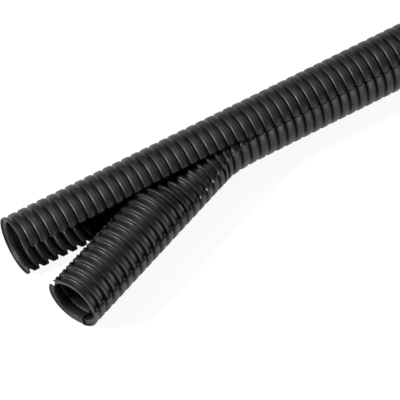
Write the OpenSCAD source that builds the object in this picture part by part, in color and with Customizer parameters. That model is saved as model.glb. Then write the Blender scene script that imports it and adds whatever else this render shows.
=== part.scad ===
// Divisible corrugated conduit, nominal width 23.
// Two C-shaped corrugated shells clip together into one round tube: the inner shell carries
// a raised strip that fills the slit of the outer shell, and two lower arms that nest inside it.
// At one end the shells are pulled apart, the way they are opened to lay a cable in.

/* [Stock] */
// Length of the conduit along its straight outer shell
length = 500; // [250:50:550]
// Outside diameter over the ribs
outer_d = 28.5; // [26:0.5:34]
// Distance from one rib to the next
pitch = 5; // [4.8:0.1:5.6]
// Height of a rib over its groove
rib_depth = 2; // [1.6:0.1:2.2]
// Wall of the outer shell and of the raised strip
wall = 0.6; // [0.5:0.05:0.7]
// Wall of the nested arms
arm_wall = 0.5; // [0.4:0.05:0.55]

/* [Rib] */
// Rib width at its top
rib_top = 3.1; // [3:0.1:3.4]
// Rib width at its foot
rib_foot = 3.6; // [3.5:0.1:3.9]
// Bevel on the rib's two top corners
rib_bevel = 0.35; // [0.2:0.05:0.4]
// Clearance round the ribs of the nested arms
rib_gap = 0.22; // [0.15:0.01:0.3]

/* [Slit] */
// Half of the angle of the raised strip
strip_half = 41; // [36:0.5:44]
// Gap between a slit edge and the shoulder of the strip, as an angle
seam_gap = 1.2; // [0.8:0.1:2]
// Angle from the middle of the strip to the free edge of each nested arm
arm_end = 168; // [160:0.5:170]

/* [Opened end] */
// Number of pitches over which the shells are apart
split_count = 25; // [22:1:26]
// Number of pitches over which the inner shell crosses the slit, before it lies free and straight
cross_count = 14; // [13:1:16]
// Plan angle at which the inner shell leaves the outer one
leave_angle = 21.5; // [18:0.5:26]
// Roll of the pulled-out shell about its own axis
roll_angle = 25; // [20:1:26]
// Inward bend of the upper arm where it passes under the slit edge
upper_bend = 26; // [25:0.5:28]
// Inward bend of the lower arm there
lower_bend = 34; // [33:0.5:36]
// Slit edges at the free end of the outer shell, up and down from the horizontal
free_lip = 44; // [43.5:0.5:50]
// Upper slit edge where the inner shell crosses it
upper_lip = 50; // [48:0.5:54]
// Lower slit edge where the inner shell crosses it
wide_lip = 76; // [74:1:80]

/* [Hidden] */
$fn = 96;

tube_r = outer_d / 2;
groove_r = tube_r - rib_depth;
arm_r = tube_r - wall - 0.25;               // rib tops of the nested arms
arm_groove_r = arm_r - rib_depth;           // their grooves
arm_top = rib_top - 2 * wall - 2 * rib_gap + 0.08;
arm_foot = rib_foot - 2 * wall - 2 * rib_gap;
slit_half = strip_half + seam_gap;
split_x = (split_count + 0.5) * pitch;      // the shells part in the middle of a groove
web = 3.5;                                  // thickness of a shoulder, as an angle
lap = 2;                                    // how far an arm runs into the shoulder

upper_reach = 133.5;                        // reach of the arms where they tuck in to pass the slit
lower_reach = 121.5;

shell_black = [0.16, 0.155, 0.15];
inner_black = [0.2, 0.195, 0.19];

// ---- the waves: points of one pitch as [distance along the tube, radius] ----
function outside(top, foot, r, g, bevel) = [
    [top / 2 - rib_bevel, r], [top / 2, r - bevel], [foot / 2, g],
    [pitch - foot / 2, g], [pitch - top / 2, r - bevel], [pitch - top / 2 + rib_bevel, r]];

function inside(top, foot, r, g, w) = [
    [top / 2 - w + 0.04, r - w], [foot / 2 - w, g - w],
    [pitch - foot / 2 + w, g - w], [pitch - top / 2 + w - 0.04, r - w]];

strip_out = outside(rib_top, rib_foot, tube_r, groove_r, rib_bevel);
strip_in = inside(rib_top, rib_foot, tube_r, groove_r, wall);
arm_rows = outside(arm_top, arm_foot, arm_r, arm_groove_r, 0);
arm_out = [for (i = [1:4]) arm_rows[i]];    // the narrow ribs of the arms have plain corners
arm_in = inside(arm_top, arm_foot, arm_r, arm_groove_r, arm_wall);
arm_mid = inside(arm_top, arm_foot, arm_r, arm_groove_r, arm_wall / 2);
deep = [[pitch / 4, arm_r / 2], [pitch * 3 / 4, arm_r / 2]];

// The wave's points that lie between two places along the tube
function run(wave, from, to) =
    [for (i = [floor(from / pitch) - 1:ceil(to / pitch)]) for (q = wave)
        if (i * pitch + q[0] > from + 0.01 && i * pitch + q[0] < to - 0.01)
            [q[1], i * pitch + q[0]]];

// Radius of a wave at a place that is the middle of a rib or of a groove
function radius_at(wave, at) =
    abs(at / pitch - round(at / pitch)) < 0.1 ? wave[0][1] : min([for (q = wave) q[1]]);

function reversed(a) = [for (i = [len(a) - 1:-1:0]) a[i]];

// Half-section of a corrugated wall between two places
function section(out, in, from, to) = concat(
    [[radius_at(out, from), from]], run(out, from, to), [[radius_at(out, to), to]],
    [[radius_at(in, to), to]], reversed(run(in, from, to)), [[radius_at(in, from), from]]);

// A half-section turned about the tube's axis. Angles start at the middle of the slit, upward.
module sector(out, in, from, to, low, high) {
    translate([0, 0, tube_r]) rotate([0, 90, 0]) rotate([0, 0, -90 - high])
        rotate_extrude(angle = high - low) polygon(section(out, in, from, to));
}

// ---- outer shell ----
// Takes away the wall between an upper and a lower slit edge, which may slope from x1 to x2
module slit_cut(x1, x2, up1, up2, low1, low2) {
    r = tube_r + 2;
    function edge(x, a) = [x, -r * cos(a), tube_r + r * sin(a)];
    function mid(x) = [x, 0, tube_r];
    function nose(x) = [x, -r * 1.6, tube_r];
    polyhedron([mid(x1), edge(x1, up1), nose(x1), edge(x1, -low1),
                mid(x2), edge(x2, up2), nose(x2), edge(x2, -low2)],
               [[0, 1, 2], [0, 2, 3], [6, 5, 4], [7, 6, 4], [0, 4, 5], [0, 5, 1],
                [1, 5, 6], [1, 6, 2], [2, 6, 7], [2, 7, 3], [3, 7, 4], [3, 4, 0]]);
}

module outer_shell() {
    x4 = split_x;
    x3 = split_x - 3 * pitch;
    x2 = split_x - 11 * pitch;
    x1 = split_x - 19 * pitch;
    color(shell_black) difference() {
        sector(strip_out, strip_in, 0, length, slit_half, 360 - slit_half);
        slit_cut(-1, x1, free_lip, free_lip, free_lip, free_lip);
        slit_cut(x1, x2, free_lip, upper_lip, free_lip, wide_lip);
        slit_cut(x2, x3, upper_lip, upper_lip, wide_lip, wide_lip);
        slit_cut(x3, x4, upper_lip, slit_half - 3, wide_lip, slit_half - 3);
    }
}

// ---- inner shell ----
function ease(a) = let (t = max(0, min(1, a))) t * t * (3 - 2 * t);

// How it lies at s pitches from the place where the shells part
function heading(s) = leave_angle * ease(s / 8);
function crossing(s) = ease(s / 4) * (1 - ease((s - 9.5) / 4.5));
function turn(s) = heading(s) * ease((s - 3.5) / 3);
function roll(s) = -roll_angle * ease(s / 11);
function drop(s) = (arm_r - tube_r) * ease((s - 3) / 5);
// Its ribs stay in line with the outer shell's until they have cleared them
function stretch(s) = 1 + (1 / cos(heading(s)) - 1) * (1 - ease((s - 4) / 2));

parts = 10;                                 // steps of the axis line in one pitch
axis_line = [for (i = 0, x = split_x, y = 0; i <= (split_count + 1) * parts;
    s = (i + 0.5) / parts, x = x - pitch / parts * cos(heading(s)) * stretch(s),
    y = y - pitch / parts * sin(heading(s)) * stretch(s), i = i + 1) [x, y]];

function axis_at(s) = s <= 0 ? [split_x - s * pitch, 0]
    : let (i = floor(s * parts), f = s * parts - i) axis_line[i] * (1 - f) + axis_line[i + 1] * f;

// Columns round the shell: [angle of the outer skin, angle of the inner skin, share of an arm]
strip_steps = 6;
arm_steps = 8;
columns = concat(
    [for (i = [0:arm_steps]) let (f = 1 - i / arm_steps) [-strip_half, -strip_half + 1.6, f, -1]],
    [for (i = [0:strip_steps]) let (f = 2 * i / strip_steps - 1)
        [f * (strip_half - 1), f * (strip_half - 3), 0, 0]],
    [for (i = [0:arm_steps]) let (f = i / arm_steps) [strip_half, strip_half - 1.6, f, 1]]);

function polar(r, a) = [-r * cos(a), r * sin(a)];
function rotated(p, a) = [p[0] * cos(a) - p[1] * sin(a), p[0] * sin(a) + p[1] * cos(a)];

// Section point at column c and radius r, before it is placed: the arm turns about its shoulder
function shaped(c, angle, r, s, slack) =
    c[3] == 0 ? polar(r, angle)
    : let (k = crossing(s),
           end = (arm_end - slack) * (1 - k) + (c[3] > 0 ? upper_reach : lower_reach) * k,
           a = c[3] * (abs(angle) + (end - abs(angle)) * c[2]),
           root = polar((arm_r + arm_groove_r - arm_wall) / 2, c[3] * strip_half),
           bend = (c[3] > 0 ? -upper_bend : lower_bend) * k)
      root + rotated(polar(r, a) - root, bend);

// The section at s, rolled, turned to the heading and set down at its place
function placed(p, s) =
    let (q = rotated(p, -roll(s)), at = axis_at(s), t = turn(s))
    [at[0] - q[0] * sin(t), at[1] + q[0] * cos(t), tube_r + drop(s) + q[1]];

module inner_shell() {
    free = (split_count + 0.5 - cross_count) * pitch;
    at = axis_at(cross_count);
    color(inner_black) {
        inner_run(split_x, length);
        crossing_part();
        translate([at[0], at[1], arm_r]) rotate([0, 0, leave_angle])
            rotate([roll_angle, 0, 0]) translate([-free, 0, -tube_r]) inner_run(0, free);
    }
}

// A straight run of the inner shell: two arms, and between them the raised strip, hollowed out
// so that a shoulder is left at each side
module inner_run(from, to) {
    root = strip_half - web;
    sector(arm_out, arm_in, from, to, strip_half - lap, arm_end);
    sector(arm_out, arm_in, from, to, -arm_end, lap - strip_half);
    difference() {
        sector(strip_out, arm_mid, from, to, -strip_half, strip_half);
        sector(strip_in, deep, from - pitch, to + pitch, -root, root);
    }
}

// The part that crosses the slit changes shape all the way, so each of its two skins is a grid of
// points: rows along the shell, columns round it. A row is [place in the wave, rib]. The first and
// last rows, -1 and -2, are thin tongues inside the wall of the straight runs.
first_rib = split_count - cross_count;
cross_x = (first_rib + 0.5) * pitch;

function rows(size) = concat([[-1, 0]],
    [for (rib = [first_rib:split_count]) for (i = [0:size - 1])
        if ((rib > first_rib || i >= size / 2) && (rib < split_count || i < size / 2)) [i, rib]],
    [[-2, 0]]);

function grid(size, strip, arm, out) = [for (row = rows(size)) for (c = columns)
    let (w = c[3] == 0 ? strip : arm, tongue = row[0] < 0,
         x = row[0] == -1 ? cross_x - 0.3 : row[0] == -2 ? split_x + 0.3
             : row[1] * pitch + w[row[0]][0],
         r = tongue ? min([for (q = w) q[1]]) + (out ? -0.05 : 0.15) : w[row[0]][1],
         s = (split_x - x) / pitch)
    placed(shaped(c, c[out ? 0 : 1], r, s, tongue ? 0.6 : 0), s)];

outer_skin = grid(6, strip_out, arm_rows, true);
inner_skin = grid(4, strip_in, arm_in, false);

module crossing_part() {
    cols = len(columns);
    half = len(outer_skin);
    last_out = half / cols - 1;
    last_in = len(inner_skin) / cols - 1;
    function o(r, c) = r * cols + c;
    function n(r, c) = half + r * cols + c;
    // slit edge: in each pitch, the outer wave's six points against the inner wave's four
    function groove(c, a, b) = [
        [o(a, c), o(a + 1, c), n(b, c)], [o(a + 1, c), n(b + 1, c), n(b, c)]];
    function rib(c, a, b) = [
        [o(a, c), o(a + 1, c), n(b, c)], [o(a + 1, c), o(a + 2, c), n(b + 1, c)],
        [o(a + 1, c), n(b + 1, c), n(b, c)], [o(a + 2, c), o(a + 3, c), n(b + 1, c)],
        [o(a + 3, c), o(a + 4, c), n(b + 2, c)], [o(a + 3, c), n(b + 2, c), n(b + 1, c)],
        [o(a + 4, c), o(a + 5, c), n(b + 3, c)], [o(a + 4, c), n(b + 3, c), n(b + 2, c)]];
    function edge(c) = [for (i = [0:cross_count]) each concat(
        groove(c, i * 6, i * 4), i < cross_count ? rib(c, i * 6 + 1, i * 4 + 1) : [])];
    faces = concat(
        [for (r = [0:last_out - 1]) for (c = [0:cols - 2])
            each [[o(r, c), o(r, c + 1), o(r + 1, c + 1)], [o(r, c), o(r + 1, c + 1), o(r + 1, c)]]],
        [for (r = [0:last_in - 1]) for (c = [0:cols - 2])
            each [[n(r, c), n(r + 1, c + 1), n(r, c + 1)], [n(r, c), n(r + 1, c), n(r + 1, c + 1)]]],
        [for (c = [0:cols - 2])
            each [[o(0, c), n(0, c), n(0, c + 1)], [o(0, c), n(0, c + 1), o(0, c + 1)],
                  [o(last_out, c), n(last_in, c + 1), n(last_in, c)],
                  [o(last_out, c), o(last_out, c + 1), n(last_in, c + 1)]]],
        edge(0), [for (f = edge(cols - 1)) [f[0], f[2], f[1]]]);
    polyhedron(concat(outer_skin, inner_skin), faces, convexity = 10);
}

// The origin is under the middle of the whole conduit
free_end = axis_at(cross_count) - cross_x * [cos(leave_angle), sin(leave_angle)];
front = free_end[1] - (tube_r * cos(leave_angle));
middle = [-length / 2, -(front + tube_r) / 2, 0];

translate(middle) outer_shell();
translate(middle) inner_shell();
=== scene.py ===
# Divisible corrugated conduit on a white studio table: two slit shells, opened at one end.
import bpy
import math
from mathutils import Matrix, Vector


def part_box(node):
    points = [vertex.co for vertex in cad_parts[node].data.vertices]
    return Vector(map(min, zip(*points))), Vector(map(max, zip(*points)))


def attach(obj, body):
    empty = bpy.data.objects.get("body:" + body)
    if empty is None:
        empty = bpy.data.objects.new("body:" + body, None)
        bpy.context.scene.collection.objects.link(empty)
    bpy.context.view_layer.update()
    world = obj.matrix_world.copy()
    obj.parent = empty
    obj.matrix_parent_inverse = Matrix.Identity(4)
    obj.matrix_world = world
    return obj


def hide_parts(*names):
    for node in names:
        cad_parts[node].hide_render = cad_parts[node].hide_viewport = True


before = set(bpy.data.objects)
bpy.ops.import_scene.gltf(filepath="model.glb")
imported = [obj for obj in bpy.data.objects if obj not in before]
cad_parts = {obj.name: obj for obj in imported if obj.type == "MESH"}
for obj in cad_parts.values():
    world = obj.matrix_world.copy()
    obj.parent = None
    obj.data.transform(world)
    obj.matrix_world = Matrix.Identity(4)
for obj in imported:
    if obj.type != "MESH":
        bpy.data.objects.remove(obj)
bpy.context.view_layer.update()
print("frame loaded")

mm = 0.001


def hexColor(code):
    # sRGB hex to the linear values that the shaders work in
    parts = [int(code[i:i + 2], 16) / 255 for i in (1, 3, 5)]
    linear = [c / 12.92 if c <= 0.04045 else ((c + 0.055) / 1.055) ** 2.4 for c in parts]
    return tuple(linear) + (1.0,)


def ease(a):
    t = max(0.0, min(1.0, a))
    return t * t * (3 - 2 * t)


def polar(r, a):
    # angles start at the middle of the slit, which faces -Y, and go up
    t = math.radians(a)
    return (-r * math.cos(t), r * math.sin(t))


def rotated(p, a):
    t = math.radians(a)
    return (p[0] * math.cos(t) - p[1] * math.sin(t), p[0] * math.sin(t) + p[1] * math.cos(t))


def spread(a, b, n):
    return [a + (b - a) * i / (n - 1) for i in range(n)]


# what the two shells share
tube = {
    "length": 500.0,          # mm along the straight outer shell
    "outsideDiameter": 28.5,
    "pitch": 5.0,
    "ribDepth": 2.0,
    "wall": 0.6,
    "armWall": 0.5,
    "ribTop": 3.1,
    "ribFoot": 3.6,
    "ribGap": 0.22,
    "armClearance": 0.25,     # between the nested arms and the outer shell
    "topTrim": 0.08,          # an inner rib top is this much wider than the wall alone gives
    "cornerRound": 0.5,       # moulded rounding of a rib's corners
    "footRound": 0.22,
    "insideRound": 0.15,      # the same on the inside of the wall
    "armCornerRound": 0.3,
    "armFootRound": 0.2,
    "armInsideRound": 0.1,
    "outsideSteps": (4, 2),   # points round a corner and round a foot
    "insideSteps": (2, 2),
    "sharpAngle": 50.0,       # edges steeper than this stay sharp
    "openPitches": 25,        # pitches over which the shells are apart
}
pitch = tube["pitch"]
tubeR = tube["outsideDiameter"] / 2
grooveR = tubeR - tube["ribDepth"]
armR = tubeR - tube["wall"] - tube["armClearance"]
armGrooveR = armR - tube["ribDepth"]
armTop = tube["ribTop"] - 2 * tube["wall"] - 2 * tube["ribGap"] + tube["topTrim"]
armFoot = tube["ribFoot"] - 2 * tube["wall"] - 2 * tube["ribGap"]
partingX = (tube["openPitches"] + 0.5) * pitch


def wave(top, foot, r, g, corner, base, cornerSteps, footSteps):
    # one pitch from a rib's middle: flat top, rounded corner, steep flank, rounded foot and
    # flat groove
    half = []
    for a in spread(90, 12, cornerSteps):
        t = math.radians(a)
        half.append((top / 2 - corner + corner * math.cos(t), r - corner + corner * math.sin(t)))
    for a in spread(195, 270, footSteps):
        t = math.radians(a)
        half.append((foot / 2 + base + base * math.cos(t), g + base + base * math.sin(t)))
    return [(0.0, r)] + half + [(pitch - x, y) for x, y in reversed(half)]


outerWave = wave(tube["ribTop"], tube["ribFoot"], tubeR, grooveR,
                 tube["cornerRound"], tube["footRound"], *tube["outsideSteps"])
innerWave = wave(tube["ribTop"] - 2 * tube["wall"] + tube["topTrim"],
                 tube["ribFoot"] - 2 * tube["wall"],
                 tubeR - tube["wall"], grooveR - tube["wall"],
                 tube["insideRound"], tube["insideRound"], *tube["insideSteps"])
armOuterWave = wave(armTop, armFoot, armR, armGrooveR,
                    tube["armCornerRound"], tube["armFootRound"], *tube["outsideSteps"])
armInnerWave = wave(armTop - 2 * tube["armWall"] + tube["topTrim"], armFoot - 2 * tube["armWall"],
                    armR - tube["armWall"], armGrooveR - tube["armWall"],
                    tube["armInsideRound"], tube["armInsideRound"], *tube["insideSteps"])


def stations(waveform, fromX, toX):
    # places along the tube where a skin has a ring of points, with the index in the wave
    rows = []
    first = int(math.floor(fromX / pitch + 1e-6))
    last = int(math.ceil(toX / pitch - 1e-6))
    for i in range(first, last + 1):
        for k, (x, r) in enumerate(waveform):
            at = i * pitch + x
            if fromX - 1e-6 <= at <= toX + 1e-6:
                rows.append((at, k))
    return rows


def skinMesh(name, outerRows, innerRows):
    # two skins and the edges between them make one closed shell
    cols = len(outerRows[0])
    points = [p for row in outerRows for p in row] + [p for row in innerRows for p in row]
    base = len(outerRows) * cols
    faces = []
    for r in range(len(outerRows) - 1):
        for c in range(cols - 1):
            a = r * cols + c
            faces.append((a, a + 1, a + cols + 1, a + cols))
    for r in range(len(innerRows) - 1):
        for c in range(cols - 1):
            a = base + r * cols + c
            faces.append((a, a + cols, a + cols + 1, a + 1))
    lastOut, lastIn = (len(outerRows) - 1) * cols, base + (len(innerRows) - 1) * cols
    for c in range(cols - 1):
        faces.append((c, base + c, base + c + 1, c + 1))
        faces.append((lastOut + c, lastOut + c + 1, lastIn + c + 1, lastIn + c))
    for c, flip in ((0, False), (cols - 1, True)):
        i = j = 0             # walk the two waves side by side along the slit edge
        while i < len(outerRows) - 1 or j < len(innerRows) - 1:
            o, n = i * cols + c, base + j * cols + c
            nextOut = outerRows[i + 1][c][3] if i < len(outerRows) - 1 else 1e9
            nextIn = innerRows[j + 1][c][3] if j < len(innerRows) - 1 else 1e9
            if nextOut <= nextIn:
                f = (o, o + cols, n)
                i += 1
            else:
                f = (o, n + cols, n)
                j += 1
            faces.append(f if not flip else tuple(reversed(f)))
    mesh = bpy.data.meshes.new(name)
    mesh.from_pydata([tuple(v * mm for v in p[:3]) for p in points], [], faces)
    mesh.validate()
    mesh.update()
    return mesh


def addShell(name, mesh, material, node):
    piece = bpy.data.objects.new(name, mesh)
    bpy.context.scene.collection.objects.link(piece)
    mesh.materials.append(material)
    mesh.shade_smooth()
    mesh.set_sharp_from_angle(angle=math.radians(tube["sharpAngle"]))
    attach(piece, "root")
    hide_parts(node)
    return piece


outerShell = {
    "slitHalf": 42.2,         # degrees, where it is closed
    "freeLip": 44.0,          # slit edges at the free end, up and down from the horizontal
    "upperLip": 50.0,         # sprung wider where the inner shell passes through
    "wideLip": 76.0,
    "opensOver": 3,           # pitches from the parting place to the wide slit
    "narrowsFrom": 11,        # and where it comes back to the free lips
    "narrowsOver": 8,
    "columns": 40,
    "looks": {"base": "#090808", "roughness": 0.42},
}


def slitEdges(x):
    d = (partingX - x) / pitch
    s = outerShell
    if d < s["opensOver"]:
        f = max(0.0, d / s["opensOver"])
        return (s["slitHalf"] + (s["upperLip"] - s["slitHalf"]) * f,
                s["slitHalf"] + (s["wideLip"] - s["slitHalf"]) * f)
    f = ease((d - s["narrowsFrom"]) / s["narrowsOver"])
    return (s["upperLip"] + (s["freeLip"] - s["upperLip"]) * f,
            s["wideLip"] + (s["freeLip"] - s["wideLip"]) * f)


def outerPoints(waveform):
    rows = []
    for x, k in stations(waveform, 0, tube["length"]):
        up, low = slitEdges(x)
        row = []
        for a in spread(up, 360 - low, outerShell["columns"]):
            y, z = polar(waveform[k][1], a)
            row.append((x, y, tubeR + z, x))
        rows.append(row)
    return rows


innerShell = {
    "stripHalf": 41.0,        # half the raised strip that fills the slit
    "armEnd": 168.0,          # how far round each nested arm reaches
    "upperReach": 133.5,      # the same where the arms tuck in to pass the slit
    "lowerReach": 121.5,
    "leaveAngle": 21.5,       # plan angle at which it leaves the outer shell
    "rollAngle": 25.0,
    "upperBend": 26.0,        # arms bent inward to pass the slit
    "lowerBend": 34.0,
    "turnOver": 8,            # pitches over which it turns away
    "rollOver": 11,
    "tuckOver": 4,            # pitches over which the arms tuck in
    "untuckFrom": 9.5,        # and where they spring out again
    "untuckOver": 4.5,
    "leanFrom": 3.5,          # where its ribs start to lean with the turn
    "leanOver": 3,
    "lowerFrom": 3,           # where it starts to come down on its arms
    "lowerOver": 5,
    "stretchUntil": 4,        # the ribs are drawn apart up to here
    "stretchFades": 2,
    "axisSteps": 10,          # points of the axis in one pitch
    "shoulder": 2.5,          # degrees that the inside of the strip is narrower on each side
    "outerInset": 0.7,        # degrees from the shoulder to the strip's first column
    "innerInset": 0.5,
    "stripColumns": 15,
    "armColumns": 14,
    "looks": {"base": "#090808", "roughness": 0.42},
}


def heading(s):
    return innerShell["leaveAngle"] * ease(s / innerShell["turnOver"])


def crossing(s):
    # 0 where the arms are free, 1 where they are tucked in to pass the slit
    back = ease((s - innerShell["untuckFrom"]) / innerShell["untuckOver"])
    return ease(s / innerShell["tuckOver"]) * (1 - back)


def stretch(s):
    fade = 1 - ease((s - innerShell["stretchUntil"]) / innerShell["stretchFades"])
    return 1 + (1 / math.cos(math.radians(heading(s))) - 1) * fade


steps = innerShell["axisSteps"]
axisLine = [(partingX, 0.0)]
for i in range((tube["openPitches"] + 2) * steps):
    s = (i + 0.5) / steps
    t = math.radians(heading(s))
    d = pitch / steps * stretch(s)
    axisLine.append((axisLine[-1][0] - d * math.cos(t), axisLine[-1][1] - d * math.sin(t)))


def axisAt(s):
    if s <= 0:
        return (partingX - s * pitch, 0.0)
    i = int(s * steps)
    f = s * steps - i
    a, b = axisLine[i], axisLine[i + 1]
    return (a[0] * (1 - f) + b[0] * f, a[1] * (1 - f) + b[1] * f)


def placed(p, s):
    roll = -innerShell["rollAngle"] * ease(s / innerShell["rollOver"])
    q = rotated(p, -roll)
    x, y = axisAt(s)
    t = math.radians(heading(s) * ease((s - innerShell["leanFrom"]) / innerShell["leanOver"]))
    down = ease((s - innerShell["lowerFrom"]) / innerShell["lowerOver"])
    lift = tubeR + (armR - tubeR) * down
    return (x - q[0] * math.sin(t), y + q[0] * math.cos(t), lift + q[1])


def innerColumns(outer):
    # [angle, share of the arm's reach, side]; the skins part by a shoulder's thickness at the strip
    half = innerShell["stripHalf"]
    edge = half if outer else half - innerShell["shoulder"]
    inset = innerShell["outerInset"] if outer else innerShell["innerInset"]
    cols = []
    for f in spread(1, 0, innerShell["armColumns"]):
        cols.append((-edge, f, -1))
    for a in spread(-(edge - inset), edge - inset, innerShell["stripColumns"]):
        cols.append((a, 0, 0))
    for f in spread(0, 1, innerShell["armColumns"]):
        cols.append((edge, f, 1))
    return cols


def innerPoints(stripWave, armWave, outer):
    half = innerShell["stripHalf"]
    cols = innerColumns(outer)
    stripRows = stations(stripWave, 0, tube["length"])
    armRows = stations(armWave, 0, tube["length"])
    rows = []
    for (sx, k), (ax, ak) in zip(stripRows, armRows):
        row = []
        for angle, share, side in cols:
            x, r = (sx, stripWave[k][1]) if side == 0 else (ax, armWave[ak][1])
            s = (partingX - x) / pitch
            if side == 0:
                p = polar(r, angle)
            else:
                k2 = crossing(s)
                reach = innerShell["upperReach" if side > 0 else "lowerReach"]
                end = innerShell["armEnd"] * (1 - k2) + reach * k2
                a = side * (abs(angle) + (end - abs(angle)) * share)
                root = polar((armR + armGrooveR - tube["armWall"]) / 2, side * half)
                bend = (-innerShell["upperBend"] if side > 0 else innerShell["lowerBend"]) * k2
                p = polar(r, a)
                turned = rotated((p[0] - root[0], p[1] - root[1]), bend)
                p = (root[0] + turned[0], root[1] + turned[1])
            row.append(placed(p, s) + (x,))
        rows.append(row)
    return rows


plastic = {
    "drawLines": (40, 900, 900),   # cells in a metre: lines 25 mm long and 1.1 mm apart
    "patches": 160.0,              # cells in a metre: patches about 6 mm wide
    "noiseLow": 0.3,               # the part of the noise that is used
    "noiseHigh": 0.7,
    "smoother": 0.06,              # how far the patches move the roughness each way
    "rougher": 0.08,
    "paler": 1.35,                 # draw lines against the base colour
    "bump": 0.15,
    "bumpDepth": 0.0002,
    "refraction": 1.49,
}


def node(tree, kind, settings=None, links=None):
    # adds a node, sets it up and joins it; a link is (output of another node, name of this input)
    n = tree.nodes.new(kind)
    for key, value in (settings or {}).items():
        if hasattr(n, key) and key not in n.inputs:
            setattr(n, key, value)
        else:
            n.inputs[key].default_value = value
    for out, name in (links or []):
        tree.links.new(out, n.inputs[name])
    return n


def blackPolypropylene(name, looks):
    # black polypropylene, blow-moulded in a corrugator: satin, with faint paler draw lines
    # along the tube and cloudy patches that are a little duller or glossier
    mat = bpy.data.materials.new(name)
    mat.use_nodes = True
    tree = mat.node_tree
    tree.nodes.clear()
    span = {"From Min": plastic["noiseLow"], "From Max": plastic["noiseHigh"]}
    place = node(tree, "ShaderNodeTexCoord")
    lines = node(tree, "ShaderNodeMapping", {"Scale": plastic["drawLines"]},
                 [(place.outputs["Object"], "Vector")])
    drawn = node(tree, "ShaderNodeTexNoise", {"Scale": 1.0, "Detail": 3.0, "Roughness": 0.55},
                 [(lines.outputs["Vector"], "Vector")])
    cloud = node(tree, "ShaderNodeTexNoise", {"Scale": plastic["patches"], "Detail": 2.0},
                 [(place.outputs["Object"], "Vector")])
    rough = node(tree, "ShaderNodeMapRange",
                 {**span, "To Min": looks["roughness"] - plastic["smoother"],
                  "To Max": looks["roughness"] + plastic["rougher"]},
                 [(cloud.outputs["Fac"], "Value")])
    tone = node(tree, "ShaderNodeMapRange", {**span, "To Min": 0.0, "To Max": 1.0},
                [(drawn.outputs["Fac"], "Value")])
    base = hexColor(looks["base"])
    pale = tuple(c * plastic["paler"] for c in base[:3]) + (1,)
    colour = node(tree, "ShaderNodeMix", {"data_type": "RGBA"},
                  [(tone.outputs["Result"], "Factor")])
    colour.inputs[6].default_value = base
    colour.inputs[7].default_value = pale
    bump = node(tree, "ShaderNodeBump",
                {"Strength": plastic["bump"], "Distance": plastic["bumpDepth"]},
                [(drawn.outputs["Fac"], "Height")])
    surface = node(tree, "ShaderNodeBsdfPrincipled",
                   {"IOR": plastic["refraction"], "Metallic": 0.0},
                   [(colour.outputs[2], "Base Color"), (rough.outputs["Result"], "Roughness"),
                    (bump.outputs["Normal"], "Normal")])
    node(tree, "ShaderNodeOutputMaterial", None, [(surface.outputs["BSDF"], "Surface")])
    return mat


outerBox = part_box("outer_shell")
origin = (outerBox[0][0] / mm, (outerBox[1][1] / mm) - tubeR)


def atHome(rows):
    # the origin of the part is under the middle of the whole conduit
    return [[(x + origin[0], y + origin[1], z, at) for x, y, z, at in row] for row in rows]


outerMesh = skinMesh("outerShell", atHome(outerPoints(outerWave)),
                     atHome(outerPoints(innerWave)))
outerPlastic = blackPolypropylene("black polypropylene, outer shell", outerShell["looks"])
outer = addShell("outer_shell_skin", outerMesh, outerPlastic, "outer_shell")
print("outer shell", len(outerMesh.polygons), "faces")

innerMesh = skinMesh("innerShell", atHome(innerPoints(outerWave, armOuterWave, True)),
                     atHome(innerPoints(innerWave, armInnerWave, False)))
innerPlastic = blackPolypropylene("black polypropylene, inner shell", innerShell["looks"])
inner = addShell("inner_shell_skin", innerMesh, innerPlastic, "inner_shell")
print("inner shell", len(innerMesh.polygons), "faces")


studio = {
    "table": "#ffffff",
    "glow": 0.92,             # share of plain white over the paper's own shading
    "world": 0.24,
    "tableHalf": 6.0,         # m
    "tableDrop": 0.0005,      # m that it lies below the part
    "lamps": [                # name, place in mm, size in mm, power in W, aim in mm
        ("softbox over the table", (0, 250, 900), 700, 2.5, (-100, 0, 10)),
        ("side lamp", (-900, 150, 480), 80, 17.0, (-150, 0, 10)),
        ("front softbox", (350, -900, 300), 500, 4.0, (-50, 0, 10)),
    ],
}
camera = {
    "azimuth": 31.4,         # degrees that the view is turned from straight across the tube
    "elevation": 54.92,
    "distance": 1418.0,       # mm
    "lens": 7.61,             # focal length as a share of the sensor's width
    "target": (-159.7, 6.0, 0.0),
}


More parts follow.
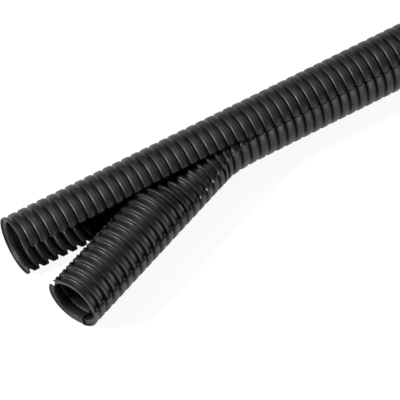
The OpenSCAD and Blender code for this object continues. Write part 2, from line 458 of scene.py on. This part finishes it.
def whiteTable(name, looks):
    # matt white paper sweep with a plain white glow over it, thin enough to keep the shadow
    mat = bpy.data.materials.new(name)
    mat.use_nodes = True
    tree = mat.node_tree
    tree.nodes.clear()
    paper = node(tree, "ShaderNodeBsdfDiffuse", {"Color": hexColor(looks["table"])})
    glow = node(tree, "ShaderNodeEmission", {"Color": hexColor("#ffffff"), "Strength": 1.0})
    path = node(tree, "ShaderNodeLightPath")   # the glow is for the eye and mirrored views
    either = node(tree, "ShaderNodeMath", {"operation": "MAXIMUM"},
                  [(path.outputs["Is Camera Ray"], 0), (path.outputs["Is Glossy Ray"], 1)])
    seen = node(tree, "ShaderNodeMath", {"operation": "MAXIMUM"},
                [(either.outputs["Value"], 0), (path.outputs["Is Transmission Ray"], 1)])
    share = node(tree, "ShaderNodeMath", {"operation": "MULTIPLY"}, [(seen.outputs["Value"], 0)])
    share.inputs[1].default_value = looks["glow"]
    mix = node(tree, "ShaderNodeMixShader", None, [(share.outputs["Value"], 0),
               (paper.outputs["BSDF"], 1), (glow.outputs["Emission"], 2)])
    node(tree, "ShaderNodeOutputMaterial", None, [(mix.outputs["Shader"], "Surface")])
    return mat


floorMesh = bpy.data.meshes.new("table")
side, level = studio["tableHalf"], -studio["tableDrop"]
floorMesh.from_pydata([(-side, -side, level), (side, -side, level),
                       (side, side, level), (-side, side, level)], [], [(0, 1, 2, 3)])
floor = bpy.data.objects.new("table", floorMesh)
bpy.context.scene.collection.objects.link(floor)
floorMesh.materials.append(whiteTable("white paper sweep", studio))

world = bpy.data.worlds.new("studio")
bpy.context.scene.world = world
world.use_nodes = True
world.node_tree.nodes.clear()
soft = node(world.node_tree, "ShaderNodeBackground",
            {"Color": hexColor("#ffffff"), "Strength": studio["world"]})
node(world.node_tree, "ShaderNodeOutputWorld", None, [(soft.outputs["Background"], "Surface")])

for name, place, size, power, aim in studio["lamps"]:
    lamp = bpy.data.lights.new(name, "AREA")
    lamp.size = size * mm
    lamp.energy = power
    o = bpy.data.objects.new(name, lamp)
    bpy.context.scene.collection.objects.link(o)
    o.location = [v * mm for v in place]
    o.rotation_euler = (Vector(aim) - Vector(place)).to_track_quat("-Z", "Y").to_euler()
print("table and lamps")

az, el = math.radians(camera["azimuth"]), math.radians(camera["elevation"])
look = Vector((math.sin(az) * math.cos(el), math.cos(az) * math.cos(el), -math.sin(el)))
lens = bpy.data.cameras.new("camera")
lens.sensor_width = 36
lens.lens = 36 * camera["lens"]
lens.clip_end = 50
eye = bpy.data.objects.new("camera", lens)
bpy.context.scene.collection.objects.link(eye)
eye.location = (Vector(camera["target"]) - look * camera["distance"]) * mm
eye.rotation_euler = look.to_track_quat("-Z", "Y").to_euler()
bpy.context.scene.camera = eye
bpy.context.scene.view_settings.view_transform = "Standard"
